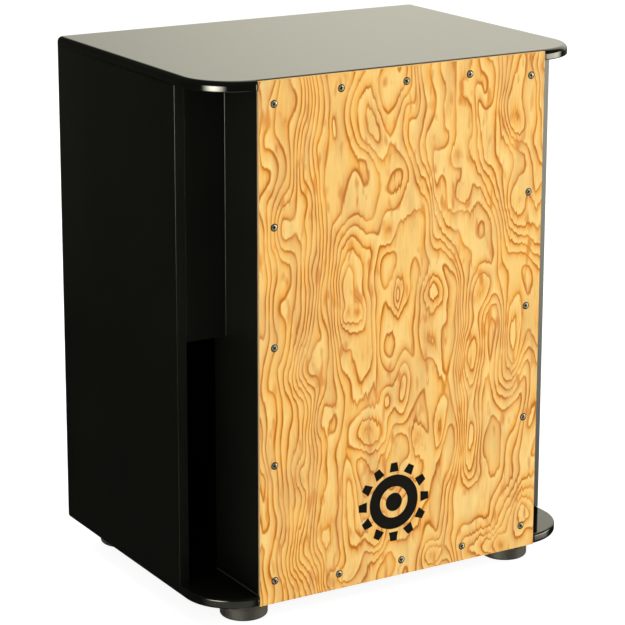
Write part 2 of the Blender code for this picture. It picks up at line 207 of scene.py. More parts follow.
class Nodes:
    """Short calls for building one node tree."""

    def __init__(self, tree):
        self.tree = tree

    def plug(self, value, socket):
        if isinstance(value, bpy.types.NodeSocket):
            self.tree.links.new(value, socket)
        else:
            socket.default_value = value

    def add(self, kind, inputs=None, **settings):
        node = self.tree.nodes.new(kind)
        for key, value in settings.items():
            setattr(node, key, value)
        for key, value in (inputs or {}).items():
            self.plug(value, node.inputs[key])
        return node

    def math(self, operation, a, b=0.0, c=None):
        node = self.add("ShaderNodeMath", {0: a, 1: b}, operation=operation)
        if c is not None:
            self.plug(c, node.inputs[2])
        return node.outputs[0]

    def vector(self, operation, *values):
        node = self.add("ShaderNodeVectorMath", dict(enumerate(values)), operation=operation)
        return node.outputs[0]

    def coordinates(self):
        return self.add("ShaderNodeTexCoord").outputs["Object"]

    def split(self, vector):
        return self.add("ShaderNodeSeparateXYZ", {0: vector}).outputs

    def mapping(self, vector, scale=(1, 1, 1), location=(0, 0, 0)):
        inputs = {"Vector": vector, "Scale": scale, "Location": location}
        return self.add("ShaderNodeMapping", inputs).outputs[0]

    def noise(self, vector, scale=1.0, detail=2.0, roughness=0.5, output=0):
        inputs = {"Vector": vector, "Scale": scale, "Detail": detail, "Roughness": roughness}
        return self.add("ShaderNodeTexNoise", inputs).outputs[output]

    def patches(self, place, width, height, shift=(0, 0), **settings):
        """Noise over the front plate, its patches about so many millimetres wide and high."""
        scaled = self.mapping(place, scale=(1 / width, 1, 1 / height), location=(shift[0], 0, shift[1]))
        return self.noise(scaled, **settings)

    def ramp(self, value, stops, interpolation="LINEAR"):
        node = self.add("ShaderNodeValToRGB", {0: value})
        node.color_ramp.interpolation = interpolation
        elements = node.color_ramp.elements
        while len(elements) < len(stops):
            elements.new(1.0)
        for element, (position, colour) in zip(elements, stops):
            element.position = position
            element.color = colour if isinstance(colour, tuple) else (colour, colour, colour, 1.0)
        return node.outputs[0]

    def rescale(self, value, low, high, to_low=0.0, to_high=1.0, smooth=False):
        inputs = {"Value": value, "From Min": low, "From Max": high, "To Min": to_low, "To Max": to_high}
        node = self.add("ShaderNodeMapRange", inputs)
        node.interpolation_type = "SMOOTHSTEP" if smooth else "LINEAR"
        return node.outputs[0]

    def mix(self, factor, a, b, blend="MIX"):
        node = self.add("ShaderNodeMix", data_type="RGBA", blend_type=blend)
        self.plug(factor, node.inputs[0])
        self.plug(a, node.inputs[6])
        self.plug(b, node.inputs[7])
        return node.outputs[2]

    def shaded(self, colour, tone):
        """The colour times a grey of that tone."""
        grey = self.add("ShaderNodeCombineColor", {0: tone, 1: tone, 2: tone}).outputs[0]
        return self.mix(1.0, colour, grey, "MULTIPLY")

    def bump(self, height, distance, strength=1.0):
        inputs = {"Height": height, "Distance": distance, "Strength": strength}
        return self.add("ShaderNodeBump", inputs).outputs[0]


def srgb(red, green, blue):
    """Linear colour of an sRGB one given from 0 to 255."""
    values = [channel / 255 for channel in (red, green, blue)]
    linear = [value / 12.92 if value <= 0.04045 else ((value + 0.055) / 1.055) ** 2.4 for value in values]
    return (*linear, 1.0)


def new_material(name, **constants):
    """A material and its Principled shader, with constants such as IOR set on the sockets."""
    material = bpy.data.materials.new(name)
    material.use_nodes = True
    nodes = Nodes(material.node_tree)
    shader = material.node_tree.nodes["Principled BSDF"]
    for key, value in constants.items():
        shader.inputs[key.replace("_", " ")].default_value = value
    return material, nodes, shader


# ---------------------------------------------------------------- materials

LACQUER_DEEP = (0.0034, 0.0036, 0.0026)
LACQUER_WORN = (0.0052, 0.0054, 0.0040)


def make_lacquer(name, base_roughness, specular, painted_lightness=1.0):
    """Black lacquer with orange peel, faint brush streaks and specks of dust; its colour is scaled for
    lighter and darker copies that paint light and shade.
    """
    material, nodes, shader = new_material(name, IOR=1.5, Specular_IOR_Level=specular)
    place = nodes.coordinates()
    cloud = nodes.noise(place, scale=9.0, detail=3.0)
    deep, worn = ([painted_lightness * part for part in colour] for colour in (LACQUER_DEEP, LACQUER_WORN))
    nodes.plug(nodes.ramp(cloud, [(0.3, (*deep, 1)), (0.7, (*worn, 1))]), shader.inputs["Base Color"])
    peel = nodes.noise(place, scale=330.0, detail=1.0)
    streak = nodes.noise(nodes.mapping(place, scale=(260, 260, 9)), detail=3.0)
    rough = nodes.math("MULTIPLY_ADD", streak, 0.03, base_roughness)
    rough = nodes.math("MULTIPLY_ADD", cloud, 0.03, rough)
    speck = nodes.noise(place, scale=900.0, detail=0.0)
    rough = nodes.math("ADD", rough, nodes.rescale(speck, 0.76, 0.80, 0.0, 0.05))
    nodes.plug(rough, shader.inputs["Roughness"])
    height = nodes.math("MULTIPLY_ADD", streak, 0.5, peel)
    nodes.plug(nodes.bump(height, 0.000004), shader.inputs["Normal"])
    return material


# The veneer's figure is set out in millimetres from the plate's lower middle, and then warped by noise.
FIGURE_HALF_WIDTH = 150
# Rings climbed from the left edge to a place across the plate. Close rings are a bundle of lines.
RING_STEPS = [
    (-150, 0.0), (-140, 2.2), (-130, 3.2), (-118, 4.0), (-104, 7.0), (-90, 10.0), (-78, 12.4),
    (-68, 13.0), (-40, 13.6), (-8, 14.4), (6, 15.8), (16, 18.4), (28, 19.4), (52, 20.0), (64, 22.4),
    (76, 23.4), (92, 24.2), (104, 26.6), (122, 27.6), (138, 29.2), (150, 30.6),
]
RING_TOTAL = 31.0
# Islands of rings: x and z of the middle, half width, half height, lean in degrees, and how many
# rings it rises by.
ISLANDS = [
    # upper half, from the left
    (-146, 425, 6, 22, 0, 1.6), (-125, 346, 11, 24, 0, 1.9), (-74, 430, 4, 17, 0, 1.0),
    (-38, 424, 17, 32, -14, 2.9), (-2, 443, 7, 16, -14, 1.2), (8, 405, 12, 34, -26, 1.3),
    (44, 434, 5, 16, 0, 1.5), (53, 394, 5, 10, 0, 1.2), (77, 430, 6, 20, -4, 1.5),
    (119, 422, 15, 26, -14, 2.4), (142, 470, 12, 14, 0, 1.8), (147, 440, 8, 18, 0, 1.4),
    (-4, 357, 16, 22, 12, 2.6), (33, 361, 6, 40, -4, 1.5), (62, 351, 11, 16, 0, 1.8),
    (115, 338, 12, 34, -12, 2.4), (146, 349, 6, 26, 0, 1.6), (-20, 330, 8, 16, 0, 1.2),
    # the arches on the left and the loops beside them
    (-56, 268, 20, 66, 0, 4.6), (-62, 256, 5, 9, 10, 1.2), (-50, 258, 5, 9, -8, 1.2),
    (-88, 276, 7, 20, 0, 1.5), (-6, 270, 9, 30, 0, 2.4), (-6, 270, 3, 12, 0, 1.2),
    (29, 268, 15, 17, 0, 2.9), (84, 262, 20, 26, -10, 3.0), (53, 268, 4, 22, 0, -1.2),
    # lower half
    (75, 196, 14, 36, 0, 4.6), (123, 202, 14, 40, 3, 4.8), (75, 122, 12, 30, 4, 4.0),
    (-104, 214, 15, 26, -10, 2.4), (-15, 174, 6, 12, 10, 1.6), (33, 206, 11, 34, -18, 2.2),
    (-31, 145, 17, 20, 0, 3.4), (-110, 117, 10, 16, 0, 2.2), (16, 130, 8, 17, -6, 2.3),
    (39, 131, 7, 20, 4, 2.6), (0, 190, 7, 34, 0, 2.0), (-43, 196, 12, 24, 24, 1.8),
    (-62, 96, 9, 48, 0, 2.6), (-88, 160, 12, 20, 16, 1.8), (-86, 70, 14, 34, -6, 2.4),
    (-36, 44, 20, 22, 0, 3.0), (6, 60, 12, 24, 0, 2.2), (-108, 40, 16, 22, 10, 2.4),
    (92, 78, 15, 26, -20, 2.4), (52, 60, 9, 30, 0, 1.8), (134, 40, 17, 22, 0, 3.6),
    (98, 10, 18, 16, 0, 3.2), (36, 14, 12, 14, 0, 2.4), (140, 118, 9, 30, 6, 1.8),
    (-142, 120, 5, 50, 0, 1.0), (-70, 10, 20, 12, 0, 2.0),
    # a broad fall that lets the rings of the lower right climb less
    (158, 120, 78, 140, 0, -7.0),
]
# What is left of an island's height at its half width or half height.
ISLAND_EDGE = 0.42
SWELL_RINGS = 6.0
# Step over which the ring field's slope is measured, and what is added so that it is never zero.
SLOPE_STEP = 0.6
SLOPE_LEAST = 0.02
# A latewood line: the millimetres that its ramp spans, where on the ramp its halo has faded, and
# the millimetres over which it ends on its sharp side.
LINE_SPAN = 10.0
HALO_END = 0.8
SHARP_SIDE = 1.25

EARLYWOOD_PALE = srgb(237, 202, 126)
EARLYWOOD_FULL = srgb(231, 187, 109)
EARLYWOOD_GOLD = srgb(229, 176, 86)
SMUDGE = srgb(205, 163, 101)
FLAME = srgb(205, 133, 60)
HALO_ORANGE = srgb(221, 142, 22)
HALO_BROWN = srgb(208, 138, 62)
LATEWOOD = srgb(168, 94, 18)


def island_rise(nodes, parts, island, rings):
    """The rings so far plus one island's, by plain numbers.

    Vector nodes would keep every island waiting in the shader's small memory.
    """
    x, z, half_width, half_height, degrees, rise = island
    cosine = math.cos(math.radians(degrees))
    sine = math.sin(math.radians(degrees))
    square = 0.0
    for along, up, half in ((cosine, -sine, half_width), (sine, cosine, half_height)):
        offset = -(x * along + z * up) / half
        reach = nodes.math("MULTIPLY_ADD", parts[0], along / half, offset)
        reach = nodes.math("MULTIPLY_ADD", parts[2], up / half, reach)
        square = nodes.math("MULTIPLY_ADD", reach, reach, square)
    return nodes.math("MULTIPLY_ADD", nodes.math("POWER", ISLAND_EDGE, square), rise, rings)


def ring_field_group():
    """Node group: place on the plate in millimetres -> how many growth rings lie under it."""
    tree = bpy.data.node_groups.new("ring_field", "ShaderNodeTree")
    tree.interface.new_socket("Place", in_out="INPUT", socket_type="NodeSocketVector")
    tree.interface.new_socket("Rings", in_out="OUTPUT", socket_type="NodeSocketFloat")
    nodes = Nodes(tree)
    place = nodes.add("NodeGroupInput").outputs[0]
    # the grain wanders slowly, waves, and is frayed along the fibres
    wander = nodes.patches(place, 70, 110, detail=1.0, output=1)
    wave = nodes.patches(place, 17, 34, (3.1, 7.7), detail=1.0, output=1)
    fray = nodes.patches(place, 3.6, 26, (8.3, 1.9), detail=2.0, output=1)
    swell = nodes.patches(place, 28, 64, (1.7, 4.4), detail=0.6)
    for source, reach in ((wander, (14, 0, 20)), (wave, (6.0, 0, 10)), (fray, (1.3, 0, 10.0))):
        centred = nodes.vector("SUBTRACT", source, (0.5, 0.5, 0.5))
        place = nodes.vector("MULTIPLY_ADD", centred, reach, place)
    parts = nodes.split(place)
    # right of the middle the bundles of rings slant in the upper half
    slant = nodes.math("MULTIPLY", nodes.rescale(parts[0], -70, 20, smooth=True),
                       nodes.rescale(parts[2], 470, 235, 0.0, 46.0, smooth=True))
    across = nodes.math("SUBTRACT", parts[0], slant)
    steps = [((x / FIGURE_HALF_WIDTH + 1) / 2, rings / RING_TOTAL) for x, rings in RING_STEPS]
    climb = nodes.ramp(nodes.rescale(across, -FIGURE_HALF_WIDTH, FIGURE_HALF_WIDTH), steps, "B_SPLINE")
    rings = 0.0
    for island in ISLANDS:
        rings = island_rise(nodes, parts, island, rings)
    # the ramp joins last, because turning its colour into a number waits for all other nodes
    rings = nodes.math("MULTIPLY_ADD", swell, SWELL_RINGS, rings)
    rings = nodes.math("MULTIPLY_ADD", climb, RING_TOTAL, rings)
    nodes.plug(rings, nodes.add("NodeGroupOutput").inputs[0])
    return tree


def ring_count(nodes, place):
    """How many rings lie under a place of the plate, and how steeply they climb per millimetre."""
    field = ring_field_group()
    counts = []
    for shift in ((0, 0, 0), (SLOPE_STEP, 0, 0), (0, 0, SLOPE_STEP)):
        moved = nodes.vector("ADD", place, shift)
        group = nodes.add("ShaderNodeGroup", node_tree=field)
        nodes.plug(moved, group.inputs[0])
        counts.append(group.outputs[0])
    slopes = [nodes.math("DIVIDE", nodes.math("SUBTRACT", other, counts[0]), SLOPE_STEP)
              for other in counts[1:]]
    steep = nodes.math("SQRT", nodes.math("ADD", nodes.math("MULTIPLY", slopes[0], slopes[0]),
                                          nodes.math("MULTIPLY", slopes[1], slopes[1])))
    return counts[0], steep


def latewood(nodes, part, steep):
    """Strength of the latewood line and its halo, from the part of a ring that lies behind a place."""
    # millimetres still to go to the ring's dark edge, and millimetres past the last one
    before = nodes.math("DIVIDE", nodes.math("SUBTRACT", 1.0, part),
                        nodes.math("ADD", steep, SLOPE_LEAST))
    after = nodes.math("DIVIDE", part, nodes.math("ADD", steep, SLOPE_LEAST))
    # the halo has its full width, or that of its own ring where the rings lie closer
    away = nodes.math("MAXIMUM", nodes.math("DIVIDE", before, LINE_SPAN),
                      nodes.math("MULTIPLY", nodes.math("SUBTRACT", 1.0, part), HALO_END))
    line = nodes.ramp(away, [(0.0, 1.0), (0.065, 0.94), (0.145, 0.62), (0.24, 0.38), (0.4, 0.19),
                             (HALO_END, 0.0)])
    sharp = nodes.rescale(after, 0.0, SHARP_SIDE, 1.0, 0.0, smooth=True)
    return nodes.math("MAXIMUM", line, nodes.math("MULTIPLY", sharp, 0.9))


def make_veneer():
    """Figured softwood veneer: pale earlywood between thin dark latewood lines with a soft halo."""
    material, nodes, shader = new_material("burl_veneer", IOR=1.45, Specular_IOR_Level=0.22)
    base = Vector(((PLATE_LOW.x + PLATE_HIGH.x) / 2, 0, PLATE_LOW.z))
    place = nodes.mapping(nodes.coordinates(), scale=(1000, 1000, 1000), location=-1000 * base)
    count, steep = ring_count(nodes, place)
    part = nodes.math("FRACT", count)
    late = latewood(nodes, part, steep)
    fibre = nodes.patches(place, 0.9, 26, detail=3.0, roughness=0.65)
    smudge = nodes.patches(place, 15, 70, (5, 2), detail=2.0)
    weight = nodes.patches(place, 22, 30, (2, 8), detail=1.0)
    late = nodes.math("MULTIPLY", late, nodes.rescale(weight, 0.32, 0.66, 0.59, 1.1))
    # every ring has its own chance of a golden tone
    whole = nodes.math("FLOOR", count)
    chance = nodes.add("ShaderNodeTexWhiteNoise", {"W": whole}, noise_dimensions="1D").outputs["Value"]
    early = nodes.mix(part, EARLYWOOD_PALE, EARLYWOOD_FULL)
    early = nodes.mix(nodes.rescale(chance, 0.2, 1.0, 0.0, 0.42), early, EARLYWOOD_GOLD)
    early = nodes.mix(nodes.rescale(smudge, 0.52, 0.72, 0.0, 0.5), early, SMUDGE)
    flame = nodes.patches(place, 7, 24, (9, 5), detail=1.0)
    early = nodes.mix(nodes.rescale(flame, 0.6, 0.74, 0.0, 0.9), early, FLAME)
    halo = nodes.mix(nodes.rescale(smudge, 0.40, 0.60, smooth=True), HALO_ORANGE, HALO_BROWN)
    wood = nodes.mix(nodes.ramp(late, [(0.0, 0.0), (0.45, 0.6), (1.0, 1.0)]), early, halo)
    wood = nodes.mix(nodes.rescale(late, 0.5, 1.05, 0.0, 0.95), wood, LATEWOOD)
    wood = nodes.shaded(wood, nodes.rescale(fibre, 0.25, 0.75, 0.93, 1.05))
    nodes.plug(wood, shader.inputs["Base Color"])
    nodes.plug(nodes.math("MULTIPLY_ADD", late, -0.08, nodes.rescale(fibre, 0.2, 0.8, 0.62, 0.52)),
               shader.inputs["Roughness"])
    nodes.plug(nodes.bump(fibre, 0.00005, 0.6), shader.inputs["Normal"])
    return material


def make_ply_edge():
    """Cut edge of the three-ply front plate: face, dark glue line, cross ply, glue line, back."""
    material, nodes, shader = new_material("ply_edge", IOR=1.45, Specular_IOR_Level=0.2)
    place = nodes.coordinates()
    depth = nodes.rescale(nodes.split(place)[1], PLATE_LOW.y, PLATE_HIGH.y)
    face_ply = srgb(236, 205, 150)
    glue_line = srgb(150, 105, 60)
    layers = nodes.ramp(depth, [(0.0, face_ply), (0.22, face_ply), (0.25, glue_line),
                                (0.29, srgb(205, 160, 104)), (0.70, srgb(198, 152, 98)),
                                (0.74, glue_line), (0.78, srgb(232, 200, 146))])
    fibre = nodes.noise(nodes.mapping(place, scale=(900, 4000, 900)), detail=2.0)
    wood = nodes.shaded(layers, nodes.rescale(fibre, 0.3, 0.7, 0.8, 1.05))
    nodes.plug(wood, shader.inputs["Base Color"])
    nodes.plug(nodes.rescale(fibre, 0.3, 0.7, 0.6, 0.8), shader.inputs["Roughness"])
    nodes.plug(nodes.bump(fibre, 0.00004), shader.inputs["Normal"])
    return material


def make_pine():
    """Bare softwood strips with rings and fine fibres."""
    material, nodes, shader = new_material("pine", IOR=1.45, Specular_IOR_Level=0.25)
    place = nodes.coordinates()
    bend = nodes.noise(nodes.mapping(place, scale=(14, 14, 14)), detail=1.0, output=1)
    bent = nodes.vector("MULTIPLY_ADD", bend, (0.006, 0.006, 0.006), place)
    waves = {"Vector": bent, "Scale": 55.0, "Distortion": 2.0, "Detail": 2.0, "Detail Scale": 0.7}
    rings = nodes.add("ShaderNodeTexWave", waves, wave_type="RINGS", rings_direction="SPHERICAL")
    fibre = nodes.noise(nodes.mapping(place, scale=(500, 500, 60)), detail=3.0)
    wood = nodes.ramp(rings.outputs["Fac"], [(0.0, srgb(222, 186, 132)), (0.6, srgb(210, 170, 114)),
                                             (0.95, srgb(176, 126, 74))])
    nodes.plug(nodes.mix(nodes.rescale(fibre, 0.35, 0.7, 0.0, 0.35), wood, srgb(168, 124, 78)),
               shader.inputs["Base Color"])
    nodes.plug(nodes.rescale(fibre, 0.3, 0.7, 0.55, 0.75), shader.inputs["Roughness"])
    nodes.plug(nodes.bump(fibre, 0.0001), shader.inputs["Normal"])
    return material


def make_steel(name, colour, dark, roughness_range, scale):
    """Metal with fine scratches, clouded at the scale between two colours and two roughnesses."""
    material, nodes, shader = new_material(name, Metallic=1.0)
    place = nodes.coordinates()
    cloud = nodes.noise(place, scale=scale, detail=3.0)
    nodes.plug(nodes.mix(nodes.rescale(cloud, 0.35, 0.7), colour, dark), shader.inputs["Base Color"])
    nodes.plug(nodes.rescale(cloud, 0.3, 0.7, *roughness_range), shader.inputs["Roughness"])
    scratch = nodes.noise(nodes.mapping(place, scale=(3000, 9000, 3000)), detail=1.0)
    nodes.plug(nodes.bump(scratch, 0.000004), shader.inputs["Normal"])
    return material


def make_rubber():
    """Dark grey rubber, gritty and slightly clouded."""
    material, nodes, shader = new_material("rubber", IOR=1.5, Specular_IOR_Level=0.4)
    place = nodes.coordinates()
    grit = nodes.noise(place, scale=1500.0, detail=2.0)
    cloud = nodes.noise(place, scale=60.0, detail=2.0)
    nodes.plug(nodes.mix(nodes.rescale(cloud, 0.35, 0.65), srgb(42, 40, 35), srgb(57, 54, 47)),
               shader.inputs["Base Color"])
    nodes.plug(nodes.rescale(cloud, 0.3, 0.7, 0.5, 0.68), shader.inputs["Roughness"])
    nodes.plug(nodes.bump(grit, 0.00005), shader.inputs["Normal"])
    return material


def make_glue():
    """The fine line of sealant along the foot of the port."""
    material, nodes, shader = new_material("glue_line", IOR=1.45, Specular_IOR_Level=0.3)
    grain = nodes.noise(nodes.coordinates(), scale=700.0, detail=2.0)
    nodes.plug(nodes.mix(grain, srgb(46, 46, 38), srgb(72, 70, 60)), shader.inputs["Base Color"])
    nodes.plug(nodes.rescale(grain, 0.3, 0.7, 0.35, 0.6), shader.inputs["Roughness"])
    nodes.plug(nodes.bump(grain, 0.00005), shader.inputs["Normal"])
    return material


def make_ink():
    """Matt black print that lets the fibres show through a little."""
    material, nodes, shader = new_material("emblem_ink", IOR=1.45, Specular_IOR_Level=0.06)
    grain = nodes.noise(nodes.mapping(nodes.coordinates(), scale=(900, 900, 60)), detail=3.0)
    nodes.plug(nodes.mix(nodes.rescale(grain, 0.35, 0.7), srgb(7, 6, 4), srgb(13, 11, 8)),
               shader.inputs["Base Color"])
    nodes.plug(nodes.rescale(grain, 0.3, 0.7, 0.45, 0.62), shader.inputs["Roughness"])
    nodes.plug(nodes.bump(grain, 0.00003), shader.inputs["Normal"])
    return material


# ---------------------------------------------------------------- the box

def shell_outline():
    """Plan of the top and bottom plates: big front corners and small rear ones."""
    front = (HALF_WIDTH - FRONT_CORNER, FRONT_Y + FRONT_CORNER)
    rear = (HALF_WIDTH - REAR_CORNER, BACK_Y - REAR_CORNER)
    right = arc(front, FRONT_CORNER, -90, 0, 40)
    right += [(HALF_WIDTH, SIDE_LOW.y)] + arc(rear, REAR_CORNER, 0, 90, 8)
    return right + [(-x, y) for x, y in reversed(right)]


def build_shell_plate(name, outer_z, outer_round, inner_z, inner_round, lacquer):
    """Top or bottom plate: its outer rim rounded all round, its inner one ahead of the sides only,
    and a rebate that the front plate sits in."""
    low_z, high_z = sorted((outer_z, inner_z))
    bm = prism(shell_outline(), low_z, high_z)
    for z, limit_y, width, segments in ((outer_z, math.inf, outer_round, 8),
                                        (inner_z, SIDE_LOW.y, inner_round, 5)):
        rim = [edge for edge in bm.edges if all(abs(vert.co.z - z) < TINY for vert in edge.verts)
               and edge_middle(edge).y < limit_y]
        bevel(bm, rim, width, segments)
    rebate = block((-REBATE_X, FRONT_Y - OVERSHOOT, low_z - OVERSHOOT),
                   (REBATE_X, REBATE_Y, high_z + OVERSHOOT))
    mesh = cut_mesh(finish_mesh(bm, name), finish_mesh(rebate, "rebate"))
    add_piece(name + "_shell", mesh, [lacquer], [name])


def build_outer_side(side, sign, lacquer):
    """Side board, its rear outside edge rounded like the plates' rear corners."""
    inside = SIDE_LOW.x
    outline = [(inside, SIDE_LOW.y), (HALF_WIDTH, SIDE_LOW.y)]
    outline += arc((HALF_WIDTH - REAR_CORNER, BACK_Y - REAR_CORNER), REAR_CORNER, 0, 90, 8)
    outline.append((inside, BACK_Y))
    bm = prism([(sign * x, y) for x, y in outline], BOTTOM_HIGH.z, TOP_LOW.z)
    uprights = [edge for edge in bm.edges if is_upright(edge) and edge_middle(edge).y < SIDE_LOW.y + TINY
                and abs(edge_middle(edge).x) > HALF_WIDTH - TINY]
    bevel(bm, uprights, UPRIGHT_ROUND, 5)
    name = f"{side}_outer_side"
    add_piece(name + "_board", finish_mesh(bm, name), [lacquer], [name])


def build_board(node, low, high, ease, material):
    """Flat lacquered board with all its edges eased."""
    bm = block(low, high)
    bevel(bm, list(bm.edges), ease, 3)
    add_piece(node + "_board", finish_mesh(bm, node), [material], [node])


def build_bead(name, start, end, toward_a, toward_b, radius, material):
    """Fine line that fills the inside corner of two boards: a hollow quarter round from start to end."""
    steps = 6
    bm = bmesh.new()
    rings = []
    for point in (start, end):
        ring = [bm.verts.new(point)]
        for step in range(steps + 1):
            angle = math.radians(90 * step / steps)
            hollow = 1 - math.sin(angle), 1 - math.cos(angle)
            ring.append(bm.verts.new(point + radius * (hollow[0] * toward_a + hollow[1] * toward_b)))
        rings.append(ring)
    bridge(bm, *rings)
    bm.faces.new(rings[0])
    bm.faces.new(rings[1])
    add_piece(name, finish_mesh(bm, name), [material])


def build_side(side, sign, lacquer, lit_satin, matt, glue):
    """Outer side, inner side and baffle of one side's recess, with the beads in its corners."""
    build_outer_side(side, sign, lacquer)
    low_x, high_x = sorted((sign * INNER_LOW.x, sign * INNER_HIGH.x))
    # the inner side takes the lighter copy of the lacquer and the baffle the darker one: painted light
    # and painted shade
    build_board(f"{side}_inner_side", (low_x, INNER_LOW.y, BOTTOM_HIGH.z),
                (high_x, INNER_HIGH.y, TOP_LOW.z), BOARD_EASE, lit_satin)
    low_x, high_x = sorted((sign * INNER_HIGH.x, sign * SIDE_LOW.x))
    build_board(f"{side}_baffle", (low_x, BAFFLE_LOW.y, BAFFLE_LOW.z),
                (high_x, BAFFLE_HIGH.y, TOP_LOW.z), BOARD_EASE, matt)
    corner_x = sign * INNER_HIGH.x
    outward = Vector((sign, 0, 0))
    forward = Vector((0, -1, 0))
    up = Vector((0, 0, 1))
    build_bead(f"{side}_corner_bead", Vector((corner_x, BAFFLE_LOW.y, BAFFLE_LOW.z)),
               Vector((corner_x, BAFFLE_LOW.y, TOP_LOW.z)), outward, forward, CORNER_BEAD, lacquer)
    build_bead(f"{side}_floor_bead", Vector((corner_x, REBATE_Y, BOTTOM_HIGH.z)),
               Vector((corner_x, INNER_HIGH.y, BOTTOM_HIGH.z)), outward, up, FLOOR_BEAD, glue)


def build_box(lacquer, lit_satin, matt, glue):
    build_shell_plate("top_plate", TOP_HIGH.z, SEAT_ROUND, TOP_LOW.z, SEAT_INNER_ROUND, lacquer)
    build_shell_plate("bottom_plate", BOTTOM_LOW.z, UNDER_ROUND, BOTTOM_HIGH.z, FLOOR_ROUND, lacquer)
    for side, sign in (("left", -1), ("right", 1)):
        build_side(side, sign, lacquer, lit_satin, matt, glue)
    build_board("back_panel", BACK_LOW, BACK_HIGH, BACK_EASE, lacquer)


# ---------------------------------------------------------------- front plate, screws, emblem

def front_screw_places():
    """Name of every front screw -> the point of the front plate's face that it stands in."""
    places = {}
    for name in sorted(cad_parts):
        if name.startswith("front_screw_"):
            low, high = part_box(name)
            places[name] = Vector(((low.x + high.x) / 2, FRONT_Y, (low.z + high.z) / 2))
    return places


def facing_forward(place):
    """Matrix that sets a piece made along Z on the front plate's face."""
    return Matrix.Translation(place) @ Matrix.Rotation(math.radians(90), 4, "X")


def build_front_plate(screw_places, veneer, ply_edge, dark):
    """Three-millimetre plate with eased edges and a countersunk hole for every screw."""
    bm = block(PLATE_LOW, PLATE_HIGH)
    bevel(bm, list(bm.edges), PLY_EASE, 3)
    mesh = finish_mesh(bm, "front_plate")
    profile = [(0.0, OVERSHOOT), (HOLE_RADIUS, OVERSHOOT), (HOLE_RADIUS, 0.0),
               (HOLE_SHANK_RADIUS, -COUNTERSINK), (HOLE_SHANK_RADIUS, -HOLE_DEPTH), (0.0, -HOLE_DEPTH)]
    holes = bmesh.new()
    for place in screw_places:
        hole = turned(profile, 32)
        bmesh.ops.transform(hole, matrix=facing_forward(place), verts=hole.verts)
        piece = bpy.data.meshes.new("hole")
        hole.to_mesh(piece)
        hole.free()
        holes.from_mesh(piece)
    plate_mesh = cut_mesh(mesh, finish_mesh(holes, "holes"))

    def is_within(point, place, radius):
        return math.hypot(point.x - place.x, point.z - place.z) < radius

    for face in plate_mesh.polygons:
        corner = plate_mesh.vertices[face.vertices[0]].co
        in_hole = any(is_within(corner, place, HOLE_RADIUS + TINY)
                      and is_within(face.center, place, HOLE_RADIUS - TINY) for place in screw_places)
        # veneer where the face looks forward or back, cut plies at the edges, and painted shade in the
        # countersunk holes
        if in_hole:
            face.material_index = 2
        elif abs(face.normal.y) > 0.35:
            face.material_index = 0
        else:
            face.material_index = 1
    add_piece("front_plate_board", plate_mesh, [veneer, ply_edge, dark], ["front_plate"])


# shares of a screw head's radius: the cross recess's reach and half width, and the limits of the painted
# shade in the recess and at the rim
RECESS_REACH = 0.76
RECESS_HALF_WIDTH = 0.18
RECESS_SHADE = 0.79
RIM_SHADE = 0.88
# how far the head's rim lies below the face it stands in, at its top and bottom
RIM_TOP = 0.00008
RIM_BOTTOM = 0.0002
RIM_BOTTOM_SHARE = 0.985
# the thread: pitch, its root as a share of the crest's radius, and the gap under the head
THREAD_PITCH = 0.0011
THREAD_ROOT = 0.78
THREAD_START = 0.0012


def cross_recess(head_radius, crown, sink):
    """Tapered cross that is cut out of a screw's head."""
    reach = head_radius * RECESS_REACH
    wide = head_radius * RECESS_HALF_WIDTH
    bm = bmesh.new()
    rings = []
    for z, taper in ((-sink * 0.9, 0.42), (-sink * 0.25, 0.72), (crown + 0.001, 1.12)):
        ring = []
        for quarter in range(4):
            turn = Matrix.Rotation(quarter * math.pi / 2, 2)
            for x, y in ((reach, -wide), (reach, wide), (wide * 1.5, wide * 1.5)):
                point = turn @ Vector((x, y))
                ring.append(bm.verts.new((point.x * taper, point.y * taper, z)))
        rings.append(ring)
    bm.faces.new(rings[0])
    bm.faces.new(rings[-1])
    for near, far in zip(rings, rings[1:]):
        bridge(bm, near, far)
    return bm


def screw_mesh(name, head_radius, crown, sink, shank_radius, length):
    """Phillips wood screw along -Z: domed head with a cross recess, threaded shank with a point.

    The second material is painted shade, in the recess and at the head's rim.
    """
    dome_steps = 8
    profile = [(0.0, crown)]
    for step in range(1, dome_steps + 1):
        share = step / dome_steps
        profile.append((head_radius * (0.995 * share), crown * (1 - share ** 2.2)))
    profile += [(head_radius, -RIM_TOP), (head_radius * RIM_BOTTOM_SHARE, -RIM_BOTTOM)]
    neck = shank_radius * 0.98
    root = neck * THREAD_ROOT
    profile += [(neck, -sink - RIM_BOTTOM)]
    depth = sink + THREAD_START
    while depth < length - shank_radius * 2.2:
        profile += [(root, -depth), (root, -depth - THREAD_PITCH * 0.45),
                    (neck, -depth - THREAD_PITCH * 0.7)]
        depth += THREAD_PITCH
    profile += [(neck * 0.7, -length + shank_radius * 2.0), (0.0, -length)]
    blank = finish_mesh(turned(profile, 32), name)
    recess = finish_mesh(cross_recess(head_radius, crown, sink), "recess")
    mesh = cut_mesh(blank, recess, HEAD_SMOOTH_ANGLE)
    for face in mesh.polygons:
        away = math.hypot(face.center.x, face.center.y)
        in_recess = away < head_radius * RECESS_SHADE and -sink < face.center.z < 0
        # painted shade: the recess and the head's rim take the dark second material
        face.material_index = 1 if in_recess or away > head_radius * RIM_SHADE else 0
    return mesh


def build_front_screws(screw_places, steel, shade_steel):
    """One mesh for all, each screw left at another angle by the screwdriver."""
    mesh = screw_mesh("front_screw", head_radius=0.0031, crown=0.00058, sink=0.0014,
                      shank_radius=0.00175, length=0.0198)
    for index, (name, place) in enumerate(screw_places.items()):
        turn = Matrix.Rotation(math.radians(20 + 41 * index), 4, "Z")
        add_piece(name + "_head", mesh, [steel, shade_steel], [name],
                  facing_forward(place) @ turn)


